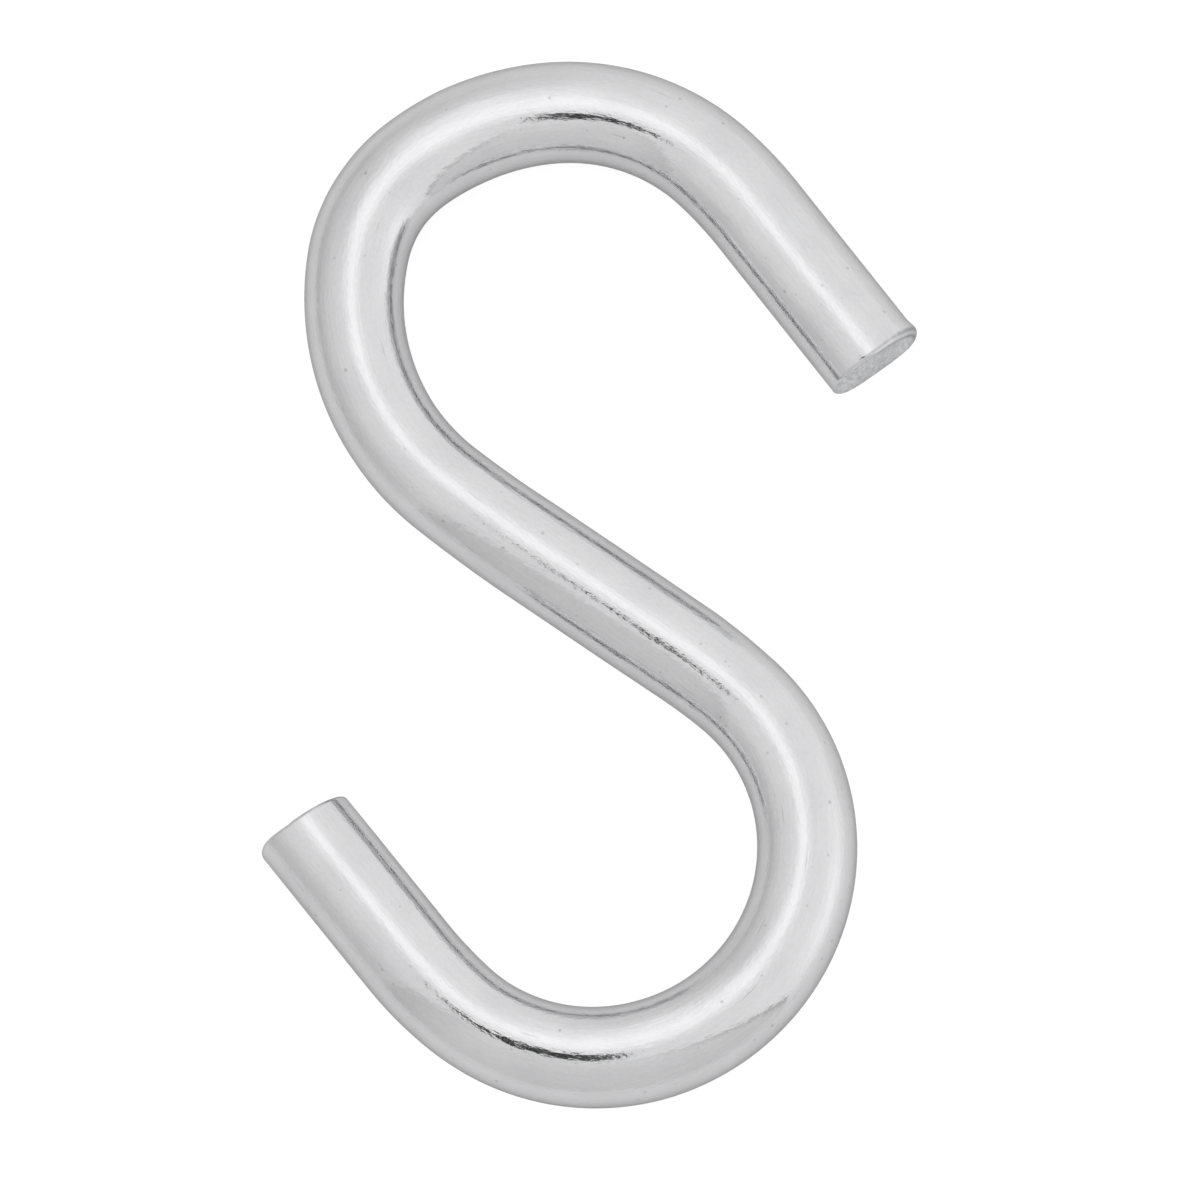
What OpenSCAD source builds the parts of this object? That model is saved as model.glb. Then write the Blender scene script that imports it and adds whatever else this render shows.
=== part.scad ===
// S hook bent cold from one length of round steel wire, lying flat on the XY plane.
// The wire is followed from its upper cut end to its lower one: straight, bend, straight, bend, straight.
// All lengths are in millimetres and all turns in degrees.

/* [Wire] */
// Diameter of the wire
wire_d = 6.35; // [3:0.05:9]
// Way that the wire sets off from its upper end, measured from +X
start_heading = 128.1; // [90:0.1:170]

/* [Upper hook] */
// Straight end of the wire, as far as the middle of its cut face
upper_leg = 12; // [6:0.1:25]
// Inside radius where the upper leg runs into the hook
upper_lead_r = 22.8; // [8:0.1:60]
// Turn of that run-in
upper_lead_turn = 8.9; // [1:0.1:20]
// Inside radius of the shoulder over the mouth
shoulder_r = 10.3; // [5:0.1:25]
// Turn of the shoulder
shoulder_turn = 47.6; // [20:0.1:70]
// Inside radius of the crown, which bears the load
crown_r = 12.7; // [5:0.1:30]
// Turn of the crown
crown_turn = 32.6; // [10:0.1:60]
// Inside radius of the tight corner that the bending tool leaves
corner_r = 6; // [2:0.1:15]
// Turn of the corner
corner_turn = 42.8; // [20:0.1:60]
// Inside radius of the back, down to the shank
back_r = 12.3; // [5:0.1:30]
// Turn of the back
back_turn = 61.6; // [30:0.1:80]
// Inside radius where the back runs out into the shank
back_end_r = 82; // [20:0.5:150]
// Turn of that run-out
back_end_turn = 3.9; // [1:0.1:10]

/* [Shank] */
// Straight stretch between the two hooks
shank = 12.1; // [4:0.1:40]

/* [Lower hook] */
// Inside radius where the shank runs into the lower hook
lower_lead_r = 33; // [10:0.5:80]
// Turn of that run-in
lower_lead_turn = 7.2; // [1:0.1:20]
// Inside radius of the lower bowl, one even bend round a mandrel
bowl_r = 9.8; // [5:0.1:25]
// Turn of the lower bowl
bowl_turn = 179.2; // [140:0.1:195]
// Inside radius where the bowl runs out into the lower leg
bowl_end_r = 22; // [8:0.5:60]
// Turn of that run-out
bowl_end_turn = 10.3; // [1:0.1:20]
// Straight end of the wire, as far as the middle of its cut face
lower_leg = 10.5; // [6:0.1:25]

/* [Cut ends] */
// How far the shear leaned when it cut the upper end, off square
upper_cut_lean = 4; // [0:0.5:8]
// How far it leaned at the lower end
lower_cut_lean = 5; // [0:0.5:8]
// Rounding that the shear leaves on the edge of a cut face
edge_r = 0.3; // [0.1:0.05:0.8]

/* [Hidden] */
$fn = 96;
wire_r = wire_d / 2;
ROUND_TO = 1e-6;  // step that a coarse turn's sine and cosine are rounded to
SPREAD = 0.02;    // how far, in degrees, a coarse turn may lie from the turn that is wanted
STEP = 0.0001;    // how finely that span is searched
CLEAR = 1;        // how far a cutting block reaches past the wire

// Straight, then centreline radius and turn of the bend after it: plus is to the left, minus to the right
PATH = [
    [upper_leg, upper_lead_r + wire_r, upper_lead_turn],
    [0, shoulder_r + wire_r, shoulder_turn],
    [0, crown_r + wire_r, crown_turn],
    [0, corner_r + wire_r, corner_turn],
    [0, back_r + wire_r, back_turn],
    [0, back_end_r + wire_r, back_end_turn],
    [shank, lower_lead_r + wire_r, -lower_lead_turn],
    [0, bowl_r + wire_r, -bowl_turn],
    [0, bowl_end_r + wire_r, -bowl_end_turn],
];

// Where the wire goes, as seen from above
function unit(a) = [cos(a), sin(a)];
function left_of(a) = unit(a + 90);
function heading(i) = i == 0 ? start_heading : heading(i - 1) + PATH[i - 1][2];
function to_centre(i, a) = sign(PATH[i][2]) * PATH[i][1] * left_of(a);
function bend_centre(i) = joint(i) + PATH[i][0] * unit(heading(i)) + to_centre(i, heading(i));
function joint(i) = i == 0 ? [0, 0] : bend_centre(i - 1) - to_centre(i - 1, heading(i));
function lower_end() = joint(len(PATH)) + lower_leg * unit(heading(len(PATH)));

// Does bend i pass the point that lies at angle a from its centre?
function bend_passes(i, a) =
    let (side = sign(PATH[i][2]), gone = side * (a - heading(i)) + 90)
    gone - 360 * floor(gone / 360) <= abs(PATH[i][2]);

// Middles of the rounded corners on the longer and the shorter side of a cut face
function cut_corners(face, out, lean) = [
    face - (edge_r - wire_r * tan(lean)) * unit(out) + (wire_r - edge_r) * left_of(out),
    face - (edge_r + wire_r * tan(lean)) * unit(out) - (wire_r - edge_r) * left_of(out),
];
CORNERS = concat(
    cut_corners([0, 0], start_heading + 180, upper_cut_lean),
    cut_corners(lower_end(), heading(len(PATH)), lower_cut_lean));

// Points that can reach furthest along +X, +Y, -X or -Y: the outer side of each bend, and the corners of the cuts
function reach(a) = concat(
    [for (i = [0:len(PATH) - 1]) if (bend_passes(i, a))
        (bend_centre(i) + (PATH[i][1] + wire_r) * unit(a)) * unit(a)],
    [for (c = CORNERS) c * unit(a) + edge_r]);
MIDDLE = [max(reach(0)) - max(reach(180)), max(reach(90)) - max(reach(270))] / 2;

// A turn is made of a coarse one, whose sine and cosine are round numbers that together keep every length true,
// and a very small one. This way each stretch of wire starts exactly on the end face of the one before it.
function rounded(x) = round(x / ROUND_TO) * ROUND_TO;
function coarse(a) = [rounded(cos(a)), rounded(sin(a))];
function small_turn(a, u) = a - atan2(u[1], u[0]);
function stretch(a, u) = abs(norm(u) * norm([1, sin(small_turn(a, u))]) - 1);
function truest(a) =
    let (tries = [for (b = [a - SPREAD:STEP:a + SPREAD]) coarse(b)],
         faults = [for (u = tries) stretch(a, u)])
    tries[search(min(faults), faults)[0]];

module turn(a) {
    u = truest(a);
    rotate([0, 0, small_turn(a, u)])
        multmatrix([[u[0], -u[1], 0, 0], [u[1], u[0], 0, 0], [0, 0, 1, 0], [0, 0, 0, 1]])
            children();
}

// A straight along +X, with what follows it
module straight(length) {
    if (length > 0)
        rotate([0, 90, 0]) cylinder(r = wire_r, h = length);
    translate([length, 0, 0]) children();
}

// A bend that sets off along +X and turns left, or right where the turn is negative, with what follows it
module bend(radius, angle) {
    side = sign(angle);
    translate([0, side * radius, 0]) {
        rotate([side < 0 ? 180 : 0, 0, 0])
            rotate([0, 0, -90])
                rotate_extrude(angle = abs(angle)) translate([radius, 0]) circle(r = wire_r);
        turn(angle) translate([0, -side * radius, 0]) children();
    }
}

// Length of wire behind the middle of a cut face that the cut and its rounding take up
function cut_length(lean) = edge_r + wire_r * tan(lean);

// The last bit of wire, along +X, cut off by a shear that leaned to the left: its edge is rounded where it is longest
module cut_end(lean) {
    back = cut_length(lean);
    length = back + wire_r * tan(lean);
    difference() {
        rotate([0, 90, 0]) rotate_extrude() wire_end_profile(length);
        translate([back, 0, 0]) rotate([0, 0, -lean])
            translate([0, -wire_d, -wire_d]) cube([length + CLEAR, 2 * wire_d, 2 * wire_d]);
    }
}

// Half of the wire's lengthwise section, with its outer corner rounded
module wire_end_profile(length) {
    square([wire_r, length - edge_r]);
    square([wire_r - edge_r, length]);
    translate([wire_r - edge_r, length - edge_r]) circle(r = edge_r);
}

// The wire from step i of its path to its lower end
module wire_from(i) {
    if (i < len(PATH)) {
        used = i == 0 ? cut_length(upper_cut_lean) : 0;
        straight(PATH[i][0] - used) bend(PATH[i][1], PATH[i][2]) wire_from(i + 1);
    } else {
        straight(lower_leg - cut_length(lower_cut_lean)) cut_end(lower_cut_lean);
    }
}

module s_hook() {
    color("silver")
        translate([-MIDDLE[0], -MIDDLE[1], wire_r])
            rotate([0, 0, start_heading])
                translate([cut_length(upper_cut_lean), 0, 0]) {
                    rotate([0, 0, 180]) cut_end(upper_cut_lean);
                    wire_from(0);
                }
}

s_hook();
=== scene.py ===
# %% [markdown]
# # An S hook of zinc-plated steel wire
# The real hook is one length of 1/4 inch steel wire. It is cut by a shear, bent cold round pegs into an S, and then
# plated with bright zinc. The imported CAD model is the frame of this scene: it gives the place and the size in metres.
# Here the hook gets what the CAD model leaves out: the wire's slight thinning in its bends, its sheared ends and the
# mirror-like zinc. So the first step loads that frame.

# %% Load the imported model
import bpy, bmesh, math
from mathutils import Matrix, Vector


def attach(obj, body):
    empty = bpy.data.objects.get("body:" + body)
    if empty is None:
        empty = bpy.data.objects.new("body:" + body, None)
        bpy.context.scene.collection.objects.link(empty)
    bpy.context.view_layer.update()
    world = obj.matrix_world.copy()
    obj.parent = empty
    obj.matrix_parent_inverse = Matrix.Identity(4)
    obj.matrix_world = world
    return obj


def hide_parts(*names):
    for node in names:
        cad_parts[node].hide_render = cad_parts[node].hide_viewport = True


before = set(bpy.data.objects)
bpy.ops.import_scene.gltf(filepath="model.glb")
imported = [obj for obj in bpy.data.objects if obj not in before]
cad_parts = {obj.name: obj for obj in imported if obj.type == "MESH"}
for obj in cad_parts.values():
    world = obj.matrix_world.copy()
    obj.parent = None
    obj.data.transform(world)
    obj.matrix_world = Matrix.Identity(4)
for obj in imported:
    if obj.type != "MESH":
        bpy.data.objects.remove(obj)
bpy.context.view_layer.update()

# %% [markdown]
# ## The wire's sizes
# A bent wire is best described the way that a bending machine makes it: so far straight, then so far round a peg of
# this radius, and so on. All the sizes are in millimetres and degrees, as in the CAD source, and the mesh is turned
# into metres when it is finished. The cut ends lean a few degrees, because a shear pushes the wire over as it cuts.

# %% Name the wire's sizes
MM = 0.001
WIRE_R = 3.174   # 1/4 inch across, less the 0.002 mm that the CAD mesh loses to its facets
UPPER_CUT = Vector((17.616, 13.725))   # middle of the upper cut face
START_HEADING = 128.1                  # way that the wire sets off from there, from +X
BENDS = [                              # straight before it, inside radius, turn: plus is to the left
    (12, 22.8, 8.9), (0, 10.3, 47.6), (0, 12.7, 32.6), (0, 6, 42.8), (0, 12.3, 61.6), (0, 82, 3.9),
    (12.1, 33, -7.2), (0, 9.8, -179.2), (0, 22, -10.3)]
LOWER_LEG = 10.5
WIRE_LENGTH = LOWER_LEG + sum(
    straight + math.radians(abs(turn)) * (inside + WIRE_R) for straight, inside, turn in BENDS)
print(f"Wire is {WIRE_LENGTH:.2f} mm long")

# %% [markdown]
# ## Bending the wire
# One way to make a bent wire is a curve with a round bevel. The rings of a mesh tell us more, though: how far along
# the wire each one is, so the plate's marks can follow the wire. We start from a circle, extrude it ring by ring for
# the straights, and spin it ring by ring for the bends, as the wire goes through the machine. Each point remembers
# where it would be if the wire were unbent again: the distance along it, then to the left and up. The operators copy
# that memory to the new ring, and only the distance is written again.

# %% Make the first ring
SIDES = 128
RING_STEP = 0.35   # most millimetres between two rings
END_LENGTH = 0.9   # the last bit of wire at each end, which is shaped later

def along(heading):
    return Vector((math.cos(math.radians(heading)), math.sin(math.radians(heading)), 0))

def ring_place(centre, heading):
    """Matrix that stands a circle across the wire: its x to the left, its y up."""
    turned = Matrix((along(heading + 90), Vector((0, 0, 1)), along(heading))).transposed().to_4x4()
    return Matrix.Translation((*centre, WIRE_R)) @ turned

wire = bmesh.new()
unbent = wire.verts.layers.float_vector.new("unbent")
sheared = wire.verts.layers.float.new("sheared")   # 0 on the wire, 1 on a cut face
heading = START_HEADING
centre = UPPER_CUT + END_LENGTH * along(heading).to_2d()
circle = bmesh.ops.create_circle(wire, segments=SIDES, radius=WIRE_R)["verts"]
for vert in circle:
    vert[unbent] = (END_LENGTH, vert.co.x, vert.co.y)
bmesh.ops.transform(wire, matrix=ring_place(centre, heading), verts=circle)
rings = [(circle, END_LENGTH, ring_place(centre, heading))]
print("First ring has", len(circle), "points")

# %% Extrude the straights and spin the bends
def points_of(geometry):
    return [item for item in geometry if isinstance(item, bmesh.types.BMVert)]

def ring_edges(verts):
    ring = set(verts)
    return list({edge for vert in verts for edge in vert.link_edges if set(edge.verts) <= ring})

def keep_ring(verts, distance):
    """Note the newest ring of points, how far along the wire it is and how it stands."""
    for vert in verts:
        vert[unbent] = (distance, *vert[unbent][1:])
    rings.append((verts, distance, ring_place(centre, heading)))

def go_straight(length):
    global centre
    steps = math.ceil(length / RING_STEP)
    for step in range(steps):
        verts, distance, _ = rings[-1]
        new = points_of(bmesh.ops.extrude_edge_only(wire, edges=ring_edges(verts))["geom"])
        bmesh.ops.translate(wire, vec=along(heading) * length / steps, verts=new)
        centre = centre + along(heading).to_2d() * length / steps
        keep_ring(new, distance + length / steps)

def go_round(inside_r, turn):
    global centre, heading
    radius, side = inside_r + WIRE_R, math.copysign(1, turn)
    peg = centre + side * radius * along(heading + 90).to_2d()
    length = radius * math.radians(abs(turn))
    steps = math.ceil(length / RING_STEP)
    for step in range(steps):
        verts, distance, _ = rings[-1]
        new = bmesh.ops.spin(wire, geom=ring_edges(verts), cent=(*peg, 0), axis=(0, 0, side), dvec=(0, 0, 0),
                             angle=math.radians(abs(turn)) / steps, steps=1, use_merge=False, use_duplicate=False)
        heading += turn / steps
        centre = peg - side * radius * along(heading + 90).to_2d()
        keep_ring(points_of(new["geom_last"]), distance + length / steps)

for number, (straight, inside_r, turn) in enumerate(BENDS):
    if straight:
        go_straight(straight - (END_LENGTH if number == 0 else 0))
    go_round(inside_r, turn)
go_straight(LOWER_LEG - END_LENGTH)
print(f"{len(rings)} rings; the last is {rings[-1][1]:.2f} mm along")

# %% [markdown]
# ## Thinning in the bends
# Steel that is bent cold gets a little thinner in the plane of the bend. On the photo the wire loses up to 4 percent
# there, and the CAD model keeps it round. Each ring is scaled across the wire in its own space, so its height stays.

# %% Thin the wire where it was bent
THINNING = [   # millimetres along the wire, percent that it is thinner
    (14, 0), (20, 1.3), (24, 1.3), (27, 0.9), (33, 0.1), (39, 3), (43, 1.8), (47, 3.2), (55, 4), (63, 1.5), (66, 0),
    (74, 0), (78, 0.7), (82, 3.4), (90, 3.1), (97, 2.5), (103, 1.7), (110, 0.7), (117, 2.2), (121, 2.5), (125, 0.3),
    (128, 0)]

def thinner(distance):
    """Share of the diameter that is lost here, read between two entries of the list."""
    for (start, before), (end, after) in zip(THINNING, THINNING[1:]):
        if start <= distance < end:
            return (before + (after - before) * (distance - start) / (end - start)) / 100
    return 0

for verts, distance, place in rings:
    bmesh.ops.scale(wire, vec=(1 - thinner(distance), 1, 1), space=place.inverted(), verts=verts)
print(f"Most thinning {100 * max(thinner(distance) for _, distance, _ in rings):.1f} percent")

# %% [markdown]
# ## The sheared ends
# A shear leaves a face that is nearly flat and leans a little. Its edge is rolled where a blade came in and sharp where
# it left, its corners are pulled out or pushed in, and it may have a small step. An inset can't lean, so each end is
# extruded ring by ring again, and each ring is placed by a short formula. The first rings roll over the edge, and the
# others shrink on the face until the last one is merged in its middle. Each point also remembers how far over the edge
# and into the face it is, so the zinc can change there.

# %% Name the two cuts
# In millimetres and degrees: out is the way out along the wire, and at is how far along it the cut lies. Edges and
# corners come in pairs: on the side where the lean leaves most wire, then on the side where it leaves least.
CUTS = {
    "upper": dict(rim=rings[0], out=-1, at=-0.06, side_lean=3.4, top_lean=2.5, edges=(0.56, 0.15),
                  corners=(-0.15, -0.25), burr=0.1, step=0),
    "lower": dict(rim=rings[-1], out=1, at=WIRE_LENGTH + 0.045, side_lean=4.2, top_lean=0, edges=(0.3, 0.22),
                  corners=(0.4, 0), burr=0, step=0.05)}
STEP_AT, STEP_WIDTH = 0.6, 0.06   # how far off the middle the step lies, and how far it takes to go down
ROLLS = range(0, 91, 15)          # degrees over the edge, from the wire to the face
SHARES = (0.97, 0.9, 0.8, 0.65, 0.5, 0.35, 0.2)   # of the face's radius, towards its middle
print("The cuts lie at", [round(cut["at"], 2) for cut in CUTS.values()], "mm along the wire")

def end_ring(cut, verts, roll, share=1):
    """Extrude the rim and place the new ring: roll goes from 0 on the wire to 90 on the face, share shrinks it."""
    _, start, place = cut["rim"]
    new = points_of(bmesh.ops.extrude_edge_only(wire, edges=ring_edges(verts))["geom"])
    for vert in new:
        left, up = Vector(vert[unbent][1:]).normalized()
        longer = cut["out"] * left   # 1 where the lean leaves most wire, -1 where it leaves least
        edge = cut["edges"][0] * (1 + longer) / 2 + cut["edges"][1] * (1 - longer) / 2
        corner = cut["corners"][0 if longer > 0 else 1]
        radius = (WIRE_R - edge * (1 - math.cos(math.radians(roll)))) * share
        x, y = radius * left + cut["out"] * cut["burr"] * max(0, longer) * share, radius * up
        outward = cut["out"] * x * math.tan(math.radians(cut["side_lean"]))
        outward += y * math.tan(math.radians(cut["top_lean"]))
        outward += corner * longer ** 2 * up * share - edge * (1 - math.sin(math.radians(roll)))
        outward -= cut["step"] * (1 + math.tanh((cut["out"] * x - STEP_AT) / STEP_WIDTH)) / 2
        vert[unbent] = (cut["at"] + cut["out"] * outward, radius * left, radius * up)
        vert[sheared] = min(roll / 100 + (1 - share), 1)   # 0.9 where the roll ends, and 1 soon after it
        vert.co = place @ Vector((x, y, vert[unbent][0] - start))
    return new

# %% Shape the two cut ends
for name, cut in CUTS.items():
    ring = cut["rim"][0]
    for roll in ROLLS:
        ring = end_ring(cut, ring, roll)
    for share in SHARES:
        ring = end_ring(cut, ring, ROLLS[-1], share)
    middle = sum((vert.co for vert in ring), Vector()) / SIDES
    bmesh.ops.pointmerge(wire, verts=ring, merge_co=middle)
    print(name, "end closed at", [round(c, 2) for c in middle])

# %% [markdown]
# ## From mesh to piece
# Points that lie on each other are merged first, and only then are the faces turned outwards, since that needs a closed
# shell. The mesh is turned into metres last, so the object itself stays at the origin, unturned and unscaled.

# %% Turn the wire's mesh into a piece
SAME_PLACE = 1e-5   # millimetres within which two points are one

def make_piece(name, mesh_of, smooth=True):
    data = bpy.data.meshes.new(name)
    bmesh.ops.remove_doubles(mesh_of, verts=mesh_of.verts, dist=SAME_PLACE)
    bmesh.ops.recalc_face_normals(mesh_of, faces=mesh_of.faces)
    for face in mesh_of.faces:
        face.smooth = smooth
    bmesh.ops.scale(mesh_of, vec=(MM, MM, MM), verts=mesh_of.verts)
    mesh_of.to_mesh(data)
    mesh_of.free()
    piece = bpy.data.objects.new(name, data)
    bpy.context.scene.collection.objects.link(piece)
    return piece

hook = make_piece("bent_wire", wire)
print(hook.name, "has", len(hook.data.polygons), "faces")

# %% [markdown]
# ## Bright zinc plate over drawn steel
# The wire was drawn through a die, which leaves fine lines along it. The zinc on top is bright and neutral in colour,
# and mirrors its surroundings, but it grew in small humps, like the peel of an orange, so the mirror image wavers. A
# few tiny pits and short scratches are left too. They could be modelled, but they are only hundredths of a millimetre
# deep at most, so they are bumps and tints in the material. They read the unbent place that each point remembers, so
# they follow the wire round its bends. The cut faces are torn and duller, and a darker tint along their edges is
# painted shade: the mirrored shadow under each end.

# %% A helper for nodes, and one for colours
def linear(colour):
    """An sRGB hex colour, as a painter would pick it, in the linear values that the shader wants."""
    parts = [int(colour[i:i + 2], 16) / 255 for i in (1, 3, 5)]
    return [p / 12.92 if p <= 0.04045 else ((p + 0.055) / 1.055) ** 2.4 for p in parts] + [1]

def add_node(material, kind, inputs=None, **settings):
    """Add a node, set its properties, and give each input a value or another node's output."""
    tree = material.node_tree
    made = tree.nodes.new("ShaderNode" + kind)
    for key, value in settings.items():
        setattr(made, key, value)
    for key, value in (inputs or {}).items():
        if isinstance(value, bpy.types.NodeSocket):
            tree.links.new(value, made.inputs[key])
        else:
            made.inputs[key].default_value = value
    return made

def new_material(name):
    material = bpy.data.materials.new(name)
    material.use_nodes = True
    material.node_tree.nodes.clear()
    return material

print("Middle grey is", round(linear("#808080")[0], 3), "in linear values")

# %% Mix the zinc's marks
LINE_GAP = 0.22     # millimetres between draw lines: real ones are ten times finer, so they are drawn coarser
HUMP_GAP = 0.25     # between the plate's humps, across the wire
GRAIN_GAP = 0.14    # between the finest humps that still show
CLOUD_GAP = 3       # between the plate's lighter and duller patches
PIT_GAP = 1         # between pits
SCRATCH_GAP = 0.55  # between scratches
LONG = (0.05, 1, 1)     # draws a pattern out along the wire, twenty times as long as it is wide
LONGISH = (0.4, 1, 1)   # two and a half times: the plate's humps follow the drawn steel below them
PIT_RADII = (0.07, 0.15)   # smallest and largest pit, as a share of their gap
zinc = new_material("bright_zinc_plate_on_drawn_steel")   # plated: neutral, glossy, softly uneven
place = add_node(zinc, "Attribute", attribute_name="unbent").outputs["Vector"]   # millimetres along, left, up
stretched = add_node(zinc, "VectorMath", {0: place, 1: LONG}, operation="MULTIPLY").outputs[0]
drawn_out = add_node(zinc, "VectorMath", {0: place, 1: LONGISH}, operation="MULTIPLY").outputs[0]
draw_lines = add_node(zinc, "TexNoise", {"Vector": stretched, "Scale": 1 / LINE_GAP, "Detail": 3}).outputs["Fac"]
humps = add_node(zinc, "TexNoise", {"Vector": drawn_out, "Scale": 1 / HUMP_GAP, "Detail": 3}).outputs["Fac"]
grain = add_node(zinc, "TexNoise", {"Vector": drawn_out, "Scale": 1 / GRAIN_GAP, "Detail": 2}).outputs["Fac"]
clouds = add_node(zinc, "TexNoise", {"Vector": place, "Scale": 1 / CLOUD_GAP, "Detail": 3}).outputs["Fac"]
dots = add_node(zinc, "TexVoronoi", {"Vector": place, "Scale": 1 / PIT_GAP})
radius = add_node(zinc, "MapRange", {"Value": dots.outputs["Color"], "From Min": 0.3, "From Max": 0.8,
                                     "To Min": PIT_RADII[0], "To Max": PIT_RADII[1]}).outputs[0]
depth = add_node(zinc, "MapRange", {"Value": dots.outputs["Color"], "From Min": 0.3, "From Max": 0.8,
                                    "To Min": 1, "To Max": 0.35}).outputs[0]   # the smallest don't show at all
pits = add_node(zinc, "MapRange", {"Value": dots.outputs["Distance"], "From Min": 0.03, "From Max": radius,
                                   "To Min": depth}).outputs[0]
dashes = add_node(zinc, "TexVoronoi", {"Vector": stretched, "Scale": 1 / SCRATCH_GAP}).outputs["Distance"]
scratches = add_node(zinc, "MapRange", {"Value": dashes, "From Min": 0.02, "From Max": 0.08,
                                        "To Min": 0.5}).outputs[0]
clean = add_node(zinc, "Math", {0: pits, 1: scratches}, operation="MULTIPLY").outputs[0]
print("Humps are", HUMP_GAP, "mm apart, and pits about", PIT_GAP, "mm")

# %% Mix the marks of the cut ends, and the shade painted along their rims
TEAR_GAP = 0.25       # millimetres between the tears on a cut face
PATCH_GAP = 0.8       # between the patches of painted shade along its edge
DRAGGED = (1, 1, 0.3)   # the blade dragged the steel down the face, so the tears are three times as long that way
cut_share = add_node(zinc, "Attribute", attribute_name="sheared").outputs["Fac"]
rims = add_node(zinc, "Math", {0: cut_share, 1: 0.25}, operation="PINGPONG").outputs[0]   # painted shade: dark lines by the edge
patches = add_node(zinc, "TexNoise", {"Vector": place, "Scale": 1 / PATCH_GAP}).outputs["Fac"]
leftward = add_node(zinc, "SeparateXYZ", {0: place}).outputs["Y"]
# Painted shade along each rim, in place of the mirrored shadow under the end: deeper towards the right of the wire, and
# in patches
uneven = add_node(zinc, "Math", {0: leftward, 1: -0.12, 2: patches}, operation="MULTIPLY_ADD").outputs[0]
rim_shade_depth = add_node(zinc, "MapRange", {"Value": uneven, "From Min": 0.4, "From Max": 0.85, "To Min": 0.1,
                                    "To Max": 0.6}).outputs[0]
painted_rim_shade = add_node(zinc, "MapRange", {"Value": rims, "From Max": 0.25, "To Max": rim_shade_depth}).outputs[0]
dragged = add_node(zinc, "VectorMath", {0: place, 1: DRAGGED}, operation="MULTIPLY").outputs[0]
torn = add_node(zinc, "TexNoise", {"Vector": dragged, "Scale": 1 / TEAR_GAP, "Detail": 4}).outputs["Fac"]
tears = add_node(zinc, "MapRange", {"Value": torn, "From Min": 0.35, "From Max": 0.65}).outputs[0]
on_face = add_node(zinc, "MapRange", {"Value": cut_share, "From Min": 0.85}).outputs[0]
print("The zinc's marks take", len(zinc.node_tree.nodes), "nodes")

# %% Put the zinc together
HUMP_HEIGHT, TORN_HEIGHT = 1.3e-5, 4e-5   # metres, on the plated wire and on its torn ends
LINE_DEPTH, GRAIN_HEIGHT, PIT_DEPTH = 6e-6, 4e-6, 6e-6
PLATE_ROUGH, TORN_ROUGH = 0.1, 0.45       # roughness, on the wire and on its ends
# A Mix node's input 0 is the share of the second thing; 2 and 3 are the things as numbers, 6 and 7 as colours
fine = add_node(zinc, "Mix", {0: 0.4, 2: grain, 3: draw_lines}).outputs[0]
mottle = add_node(zinc, "Mix", {0: 0.4, 2: fine, 3: clouds}).outputs[0]
bright = add_node(zinc, "Mix", {0: mottle, 6: linear("#D4D4D6"), 7: linear("#F6F6F7")}, data_type="RGBA").outputs[2]
marked = add_node(zinc, "Mix", {0: clean, 6: linear("#A5A6A7"), 7: bright}, data_type="RGBA").outputs[2]
# Paints shade: a dark grey on the rims, standing in for the mirrored shadow under each end
rim_shaded = add_node(zinc, "Mix", {0: painted_rim_shade, 6: marked, 7: linear("#707276")}, data_type="RGBA").outputs[2]
face = add_node(zinc, "Mix", {0: tears, 6: linear("#DEE0E2"), 7: linear("#FFFFFF")}, data_type="RGBA").outputs[2]
tint = add_node(zinc, "Mix", {0: on_face, 6: rim_shaded, 7: face}, data_type="RGBA").outputs[2]
rough = add_node(zinc, "MapRange", {"Value": cut_share, "From Min": 0.5, "To Min": PLATE_ROUGH,
                                    "To Max": TORN_ROUGH}).outputs[0]
coarse = add_node(zinc, "MapRange", {"Value": cut_share, "From Min": 0.5, "To Min": HUMP_HEIGHT,
                                     "To Max": TORN_HEIGHT}).outputs[0]
wavy = add_node(zinc, "Bump", {"Height": humps, "Distance": coarse, "Strength": 1}).outputs[0]
lined = add_node(zinc, "Bump", {"Height": draw_lines, "Distance": LINE_DEPTH, "Strength": 1,
                                "Normal": wavy}).outputs[0]
grained = add_node(zinc, "Bump", {"Height": grain, "Distance": GRAIN_HEIGHT, "Strength": 1,
                                  "Normal": lined}).outputs[0]
pitted = add_node(zinc, "Bump", {"Height": pits, "Distance": PIT_DEPTH, "Strength": 1,
                                 "Normal": grained}).outputs[0]
metal = add_node(zinc, "BsdfPrincipled", {"Base Color": tint, "Metallic": 1, "Roughness": rough,
                                          "Specular Tint": linear("#D8D8D8"), "Normal": pitted})
add_node(zinc, "OutputMaterial", {"Surface": metal.outputs[0]})
hook.data.materials.append(zinc)
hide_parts("s_hook")
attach(hook, "root")
print("Zinc has", len(zinc.node_tree.nodes), "nodes")

# %% [markdown]
# ## The white table
# The hook lies on white acrylic that the photo shows as plain white. The floor is one large face, a hair below the
# hook. The camera sees it nearly pure white, and the hook's flanks mirror it as a grey table with the hook's own
# shadow on it.

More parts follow.
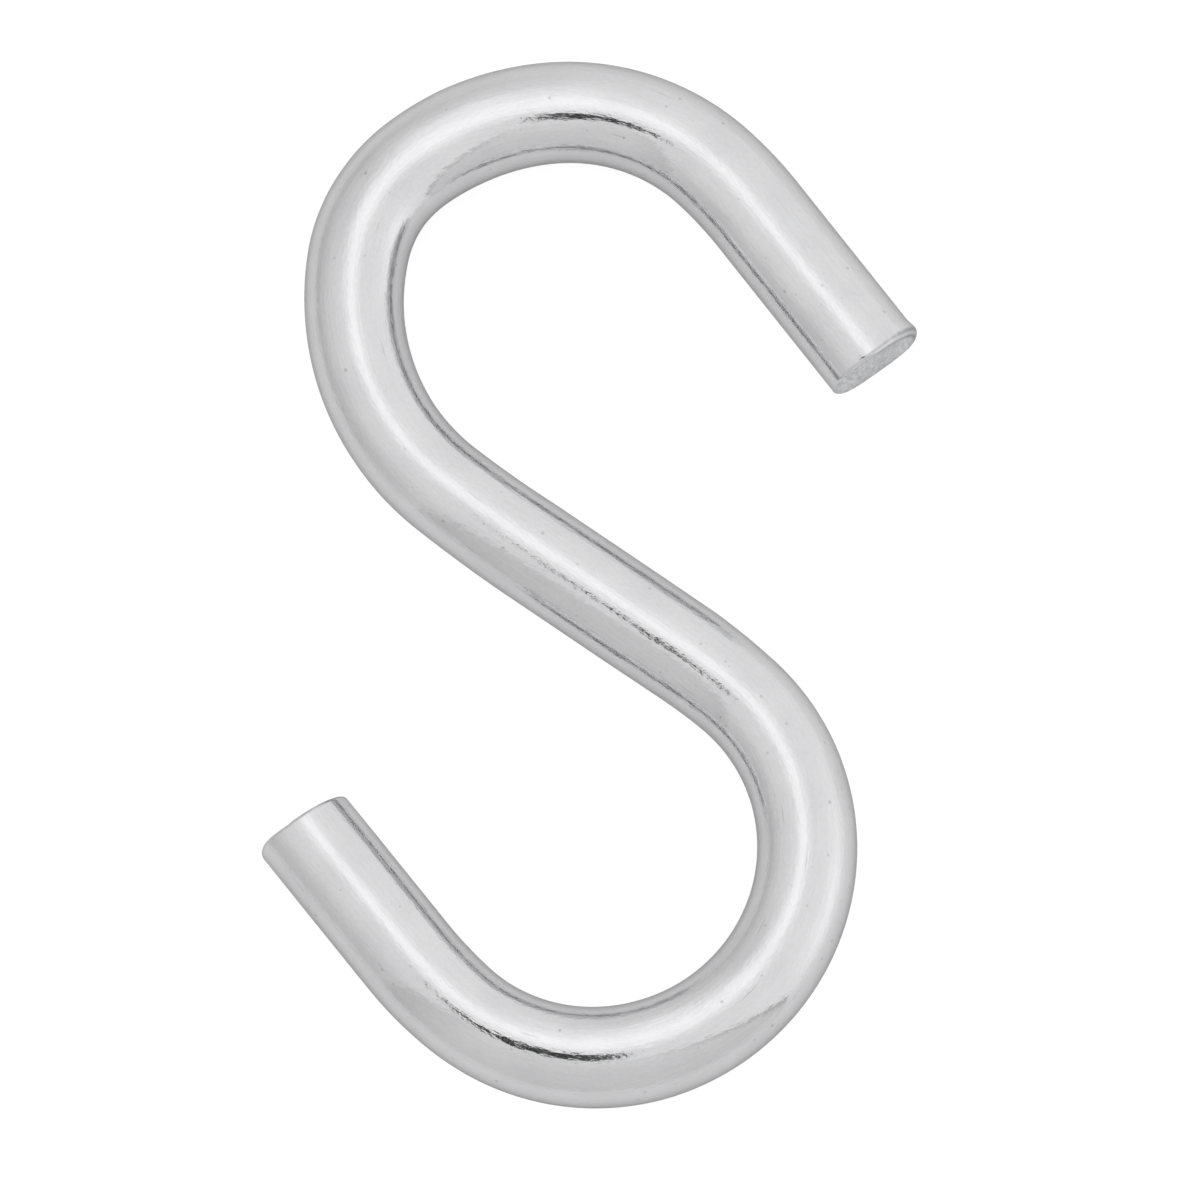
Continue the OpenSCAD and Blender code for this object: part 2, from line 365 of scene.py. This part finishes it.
# %% Lay the floor
FLOOR_REACH = 3000   # millimetres from its middle to its sides
FLOOR_DROP = 0.02    # below the hook, so that the two don't touch
FLOOR_SHINE = 0.86   # so bright that the camera sees it nearly pure white
floor_mesh = bmesh.new()
bmesh.ops.create_grid(floor_mesh, x_segments=1, y_segments=1, size=FLOOR_REACH)
bmesh.ops.translate(floor_mesh, vec=(0, 0, -FLOOR_DROP), verts=floor_mesh.verts)
floor = make_piece("white_table", floor_mesh, smooth=False)
acrylic = new_material("white_acrylic_table")   # cast and polished: an even white with a soft gloss
seen = add_node(acrylic, "LightPath").outputs["Is Camera Ray"]
mirrored = add_node(acrylic, "BsdfPrincipled", {"Base Color": linear("#E1E1E1"), "Roughness": 0.1})
dull = add_node(acrylic, "BsdfDiffuse", {"Color": linear("#8A8A8A")})
shine = add_node(acrylic, "Emission", {"Color": linear("#FFFFFF"), "Strength": FLOOR_SHINE})
lit = add_node(acrylic, "AddShader", {0: dull.outputs[0], 1: shine.outputs[0]})
table = add_node(acrylic, "MixShader", {0: seen, 1: mirrored.outputs[0], 2: lit.outputs[0]})
add_node(acrylic, "OutputMaterial", {"Surface": table.outputs[0]})
floor.data.materials.append(acrylic)
print("Floor reaches", FLOOR_REACH, "mm each way")

# %% [markdown]
# ## The light tent
# A mirror-like thing shows its surroundings, so they decide its look. The photo was taken in a tent of white cloth,
# with a long soft light above and duller sides. Lamps behind a real cloth would do, but they render with more noise.
# So the tent is a dome whose points carry their own brightness: that of the cloth, and a little for each soft light
# near them. Only mirror rays see it, and a plain white world lights the rest.

# %% Light the tent
TENT_R = 360        # millimetres
TENT_FOOT = -10     # height at which the dome is cut off
CLOTH_GLOW = 0.8    # brightness of the cloth away from the lights
TENT_LIGHTS = [   # way to it: degrees from +X, degrees from straight up; then its spread and its gain
    (-7, 80, 20, 0.16), (92, 7, 13, 0.24), (111, 24, 11, 0.16), (117, 43, 11, 0.18), (106, 34, 27, 0.11),
    (7, 73, 69, 0.09), (178, 113, 35, -0.37), (130, 85, 37, -0.18), (-153, 73, 23, -0.12), (130, 43, 12, -0.16)]

def direction(around, down):
    around, down = math.radians(around), math.radians(down)
    return Vector((math.sin(down) * math.cos(around), math.sin(down) * math.sin(around), math.cos(down)))

def tent_light(way):
    """Brightness of the tent's cloth in one direction from the hook."""
    return CLOTH_GLOW + sum(gain * math.exp(-(math.degrees(way.angle(direction(around, down))) / spread) ** 2)
                            for around, down, spread, gain in TENT_LIGHTS)

tent_mesh = bmesh.new()
bmesh.ops.create_uvsphere(tent_mesh, u_segments=180, v_segments=90, radius=TENT_R)
bmesh.ops.bisect_plane(tent_mesh, geom=tent_mesh.verts[:] + tent_mesh.edges[:] + tent_mesh.faces[:],
                       plane_co=(0, 0, TENT_FOOT), plane_no=(0, 0, -1), clear_outer=True)
glow = tent_mesh.verts.layers.float.new("glow")
for vert in tent_mesh.verts:
    vert[glow] = tent_light(vert.co)
tent = make_piece("tent_cloth", tent_mesh)
print("Tent has", len(tent.data.vertices), "points")

# %% [markdown]
# ## The front card and the dark gap
# Two more things in the tent show in the zinc. A grey card stands in front of the hook, where the camera looks in, and
# gives the hook's flanks their duller bands. And the tent is open beside the lens, which the hook mirrors as short
# black streaks on its crown, its shank and its bowl. The card is three flat panels. The gap is an ellipse with one end
# cut off straight, since the streak on the crown starts sharply.

# %% Stand up the front card
PANELS = [   # bottom left, top left, top right, bottom right, and how bright it is at the bottom and the top
    ((-129, -93, -10), (-88, -70, 200), (-63, -83, 200), (-70, -95, -10), 0.51, 0.66),
    ((-70, -95, -10), (-63, -83, 200), (20, -125, 200), (125, -100, -10), 0.64, 0.77),
    ((121, -98, -10), (16, -122, 200), (22, -121, 200), (129, -96, -10), 0.4, 0.4)]
card_mesh = bmesh.new()
glow = card_mesh.verts.layers.float.new("glow")
for *corners, low, high in PANELS:
    panel = [card_mesh.verts.new(corner) for corner in corners]
    for vert, value in zip(panel, (low, high, high, low)):
        vert[glow] = value
    card_mesh.faces.new(panel)
card = make_piece("front_card", card_mesh, smooth=False)
print("Card has", len(card.data.polygons), "panels")

# %% Open the gap beside the lens
GAP_HALVES = (75, 37)       # half its length and half its width, in millimetres
GAP_PLACE = Vector((-45, -87, 318))
GAP_TURN = -35.8            # way that its length lies, from +X
GAP_END = (-18, 0, 0)       # a point on the straight line that cuts one end off
GAP_END_FACES = (1, 0.1, 0)   # way that this line faces
gap_mesh = bmesh.new()
bmesh.ops.create_circle(gap_mesh, cap_ends=True, segments=48, radius=1)
bmesh.ops.scale(gap_mesh, vec=(*GAP_HALVES, 1), verts=gap_mesh.verts)
hung = Matrix.Translation(GAP_PLACE) @ Matrix.Rotation(math.radians(GAP_TURN), 4, "Z")
bmesh.ops.transform(gap_mesh, matrix=hung, verts=gap_mesh.verts)
bmesh.ops.bisect_plane(gap_mesh, geom=gap_mesh.verts[:] + gap_mesh.edges[:] + gap_mesh.faces[:],
                       plane_co=GAP_END, plane_no=GAP_END_FACES, clear_outer=True)
gap = make_piece("dark_gap", gap_mesh, smooth=False)
print("Gap has", len(gap.data.vertices), "corners")

# %% Let only mirror rays see them
ROOM_GLOW = 0.04   # brightness of what shows through the gap
cloth = new_material("lit_tent_cloth")   # woven and lit from behind: even and soft, brighter near each light
level = add_node(cloth, "Attribute", attribute_name="glow").outputs["Fac"]
add_node(cloth, "OutputMaterial", {"Surface": add_node(cloth, "Emission", {"Strength": level}).outputs[0]})
black = new_material("dark_room_behind_the_gap")   # an unlit room: nearly black
add_node(black, "OutputMaterial", {"Surface": add_node(black, "Emission", {"Strength": ROOM_GLOW}).outputs[0]})
for part, material in ((tent, cloth), (card, cloth), (gap, black)):
    part.data.materials.append(material)
    part.visible_camera = part.visible_diffuse = part.visible_transmission = part.visible_shadow = False
    material.cycles.emission_sampling = "NONE"
print("Only mirror rays see", tent.name, card.name, "and", gap.name)

# %% Light the rest with a plain white world
world = bpy.data.worlds.new("soft_white_room")
world.use_nodes = True
world.node_tree.nodes["Background"].inputs["Color"].default_value = (1, 1, 1, 1)
world.node_tree.nodes["Background"].inputs["Strength"].default_value = 1
bpy.context.scene.world = world
bpy.context.scene.view_settings.view_transform = "Standard"
print("World is white, shown by the view", bpy.context.scene.view_settings.view_transform)

# %% [markdown]
# ## The camera
# The photo looks almost straight down, leaning about 12 degrees towards the lower right, through a long lens. The
# lens's distance is a guess, since the wire shows hardly any perspective.

# %% Set up the camera
TARGET = Vector((0.635, -1.069, 3.175))   # where it looks, in millimetres
LEAN, TOWARDS, ROLL = 12.26, -66.343, 0.057   # degrees off straight down, the way it leans from +X, turn in its frame
DISTANCE = 1500   # millimetres from there
LENS = 729.2      # millimetres: a very long lens, which fills the frame with the hook from so far off
camera_data = bpy.data.cameras.new("camera")
camera_data.sensor_width = 36
camera_data.lens = LENS
camera_data.clip_end = 20
camera = bpy.data.objects.new("camera", camera_data)
hinge = along(TOWARDS + 90)
turned = Matrix.Rotation(math.radians(LEAN), 4, hinge) @ Matrix.Rotation(math.radians(ROLL), 4, "Z")
camera.matrix_world = Matrix.Translation((TARGET + turned.col[2].to_3d() * DISTANCE) * MM) @ turned
bpy.context.scene.collection.objects.link(camera)
bpy.context.scene.camera = camera
print("Camera looks along", [round(c, 3) for c in -turned.col[2]])

# %% [markdown]
# ## Finish
# A bent piece easily grows past the size that it was meant to have. The scene is brought up to date last.

# %% Bring the scene up to date
bpy.context.view_layer.update()
